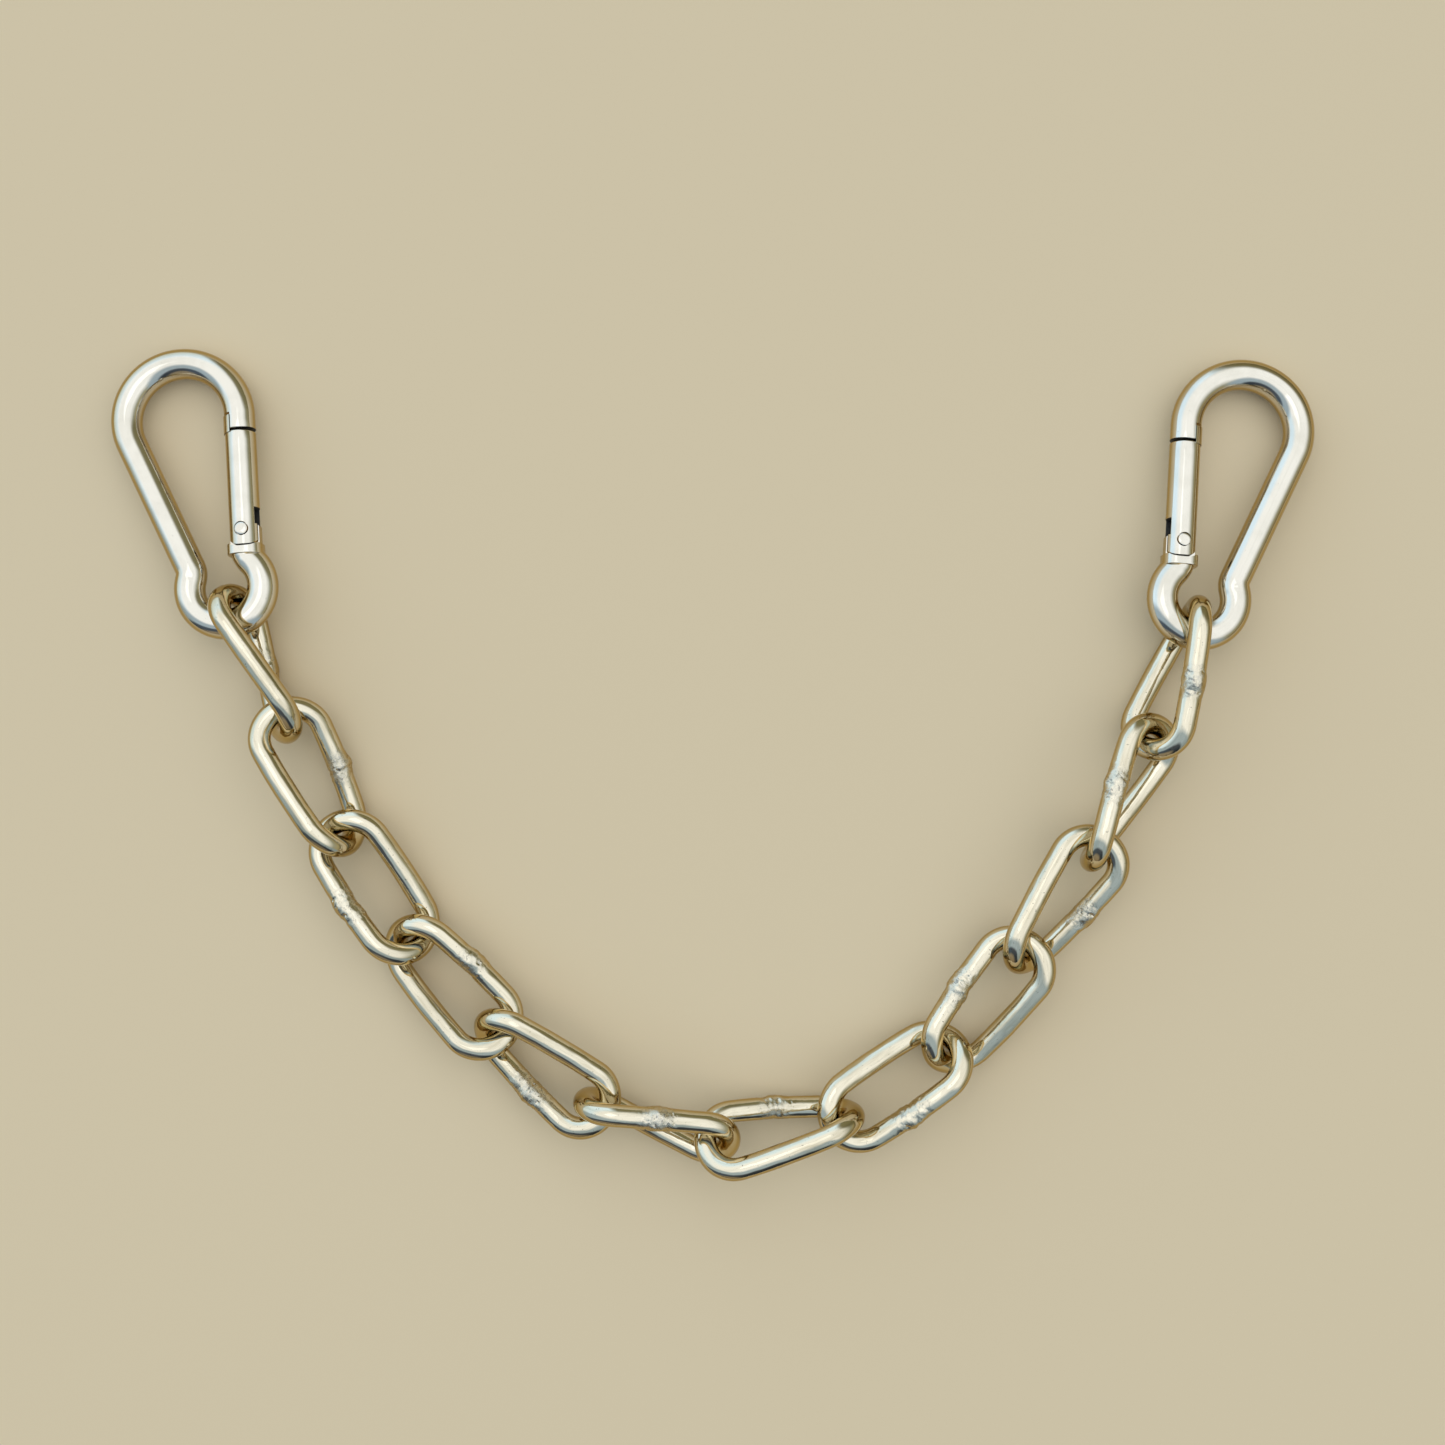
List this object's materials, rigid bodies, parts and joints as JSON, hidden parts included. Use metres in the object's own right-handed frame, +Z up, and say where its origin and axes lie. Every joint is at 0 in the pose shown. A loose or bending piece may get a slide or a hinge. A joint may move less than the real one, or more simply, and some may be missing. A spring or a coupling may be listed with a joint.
{
  "type": "snap hook chain",
  "caption": "Short twisted-link steel chain with a wire spring snap hook at each end; each sprung gate opens inwards on its rivet and every link swings on the next.",
  "frame": {"origin": "middle of the bounding box's bottom face, on the surface that the chain lies on", "axes": "+X from the left hook to the right hook, +Y towards the hooks' bows, +Z up out of the surface"},
  "size_m": [0.3196, 0.2178, 0.0242],
  "materials": {
    "plated_steel": "bright plated, polished",
    "chain_steel": "bright plated, slightly warm, with rough welds",
    "spring_steel": "plain drawn wire and turned steel"
  },
  "bodies": {
    "left_hook": {"left_hook_body": "plated_steel"},
    "left_gate": {"left_gate": "plated_steel", "left_gate_rivet": "plated_steel", "left_gate_spring": "spring_steel"},
    "left_plunger": {"left_plunger": "spring_steel"},
    "link_01": {"link_01": "chain_steel"},
    "link_02": {"link_02": "chain_steel"},
    "link_03": {"link_03": "chain_steel"},
    "link_04": {"link_04": "chain_steel"},
    "link_05": {"link_05": "chain_steel"},
    "link_06": {"link_06": "chain_steel"},
    "link_07": {"link_07": "chain_steel"},
    "link_08": {"link_08": "chain_steel"},
    "link_09": {"link_09": "chain_steel"},
    "link_10": {"link_10": "chain_steel"},
    "link_11": {"link_11": "chain_steel"},
    "link_12": {"link_12": "chain_steel"},
    "right_hook": {"right_hook_body": "plated_steel"},
    "right_gate": {"right_gate": "plated_steel", "right_gate_rivet": "plated_steel", "right_gate_spring": "spring_steel"},
    "right_plunger": {"right_plunger": "spring_steel"}
  },
  "joints": [
    {"name": "link_01_swing", "type": "hinge", "parent": "left_hook", "child": "link_01", "pos_m": [-0.12353, 0.03616, 0.01152], "axis": [0.899, 0.4375, -0.0176], "range_deg": [-20, 25]},
    {"name": "link_02_swing", "type": "hinge", "parent": "link_01", "child": "link_02", "pos_m": [-0.11081, 0.00692, 0.01253], "axis": [-0.4789, -0.2454, -0.8429], "range_deg": [-40, 40]},
    {"name": "link_03_swing", "type": "hinge", "parent": "link_02", "child": "link_03", "pos_m": [-0.09644, -0.02279, 0.00976], "axis": [0.301, 0.219, -0.9282], "range_deg": [-40, 40]},
    {"name": "link_04_swing", "type": "hinge", "parent": "link_03", "child": "link_04", "pos_m": [-0.0784, -0.05049, 0.00785], "axis": [0.6092, 0.437, -0.6617], "range_deg": [-15, 40]},
    {"name": "link_05_swing", "type": "hinge", "parent": "link_04", "child": "link_05", "pos_m": [-0.05534, -0.0741, 0.01046], "axis": [0.695, 0.6287, -0.3489], "range_deg": [-10, 40]},
    {"name": "link_06_swing", "type": "hinge", "parent": "link_05", "child": "link_06", "pos_m": [-0.02844, -0.09339, 0.0128], "axis": [-0.6024, -0.7981, 0.0087], "range_deg": [-40, 40]},
    {"name": "link_07_swing", "type": "hinge", "parent": "link_06", "child": "link_07", "pos_m": [0.0042, -0.10108, 0.01125], "axis": [-0.2548, -0.7172, -0.6486], "range_deg": [-30, 40]},
    {"name": "link_08_swing", "type": "hinge", "parent": "link_07", "child": "link_08", "pos_m": [0.03694, -0.09349, 0.01146], "axis": [0.0629, -0.05, 0.9968], "range_deg": [-40, 40]},
    {"name": "link_09_swing", "type": "hinge", "parent": "link_08", "child": "link_09", "pos_m": [0.06452, -0.07546, 0.00819], "axis": [-0.4563, 0.5967, -0.6601], "range_deg": [-10, 40]},
    {"name": "link_10_swing", "type": "hinge", "parent": "link_09", "child": "link_10", "pos_m": [0.08401, -0.04869, 0.01033], "axis": [-0.7407, 0.5928, -0.3161], "range_deg": [-20, 35]},
    {"name": "link_11_swing", "type": "hinge", "parent": "link_10", "child": "link_11", "pos_m": [0.10278, -0.0215, 0.0125], "axis": [-0.8199, 0.5719, 0.0261], "range_deg": [-40, 40]},
    {"name": "link_12_swing", "type": "hinge", "parent": "link_11", "child": "link_12", "pos_m": [0.11704, 0.00842, 0.01125], "axis": [0.7755, -0.4138, -0.4769], "range_deg": [-40, 40]},
    {"name": "right_hook_swing", "type": "hinge", "parent": "link_12", "child": "right_hook", "pos_m": [0.12728, 0.03997, 0.01132], "axis": [-0.1178, 0.0589, 0.9913], "range_deg": [-40, 40]},
    {"name": "left_gate_turn", "type": "hinge", "parent": "left_hook", "child": "left_gate", "pos_m": [-0.12318, 0.05988, 0.00922], "axis": [-0.0279, 0.0972, 0.9949], "range_deg": [0, 25], "stiffness_Nm_per_rad": 0.1, "springref_deg": -34.38},
    {"name": "left_plunger_slide", "type": "slide", "parent": "left_gate", "child": "left_plunger", "axis": [-0.0788, 0.9919, -0.0991], "range_m": [0, 0.00065]},
    {"name": "right_gate_turn", "type": "hinge", "parent": "right_hook", "child": "right_gate", "pos_m": [0.12318, 0.05701, 0.00921], "axis": [-0.0279, -0.0972, -0.9949], "range_deg": [0, 25], "stiffness_Nm_per_rad": 0.1, "springref_deg": -34.38},
    {"name": "right_plunger_slide", "type": "slide", "parent": "right_gate", "child": "right_plunger", "axis": [0.0788, 0.9919, -0.0991], "range_m": [0, 0.00065]}
  ],
  "couplings": [
    {"joint": "left_plunger_slide", "follows": "left_gate_turn", "m_per_rad": 0.0014},
    {"joint": "right_plunger_slide", "follows": "right_gate_turn", "m_per_rad": 0.0014}
  ]
}
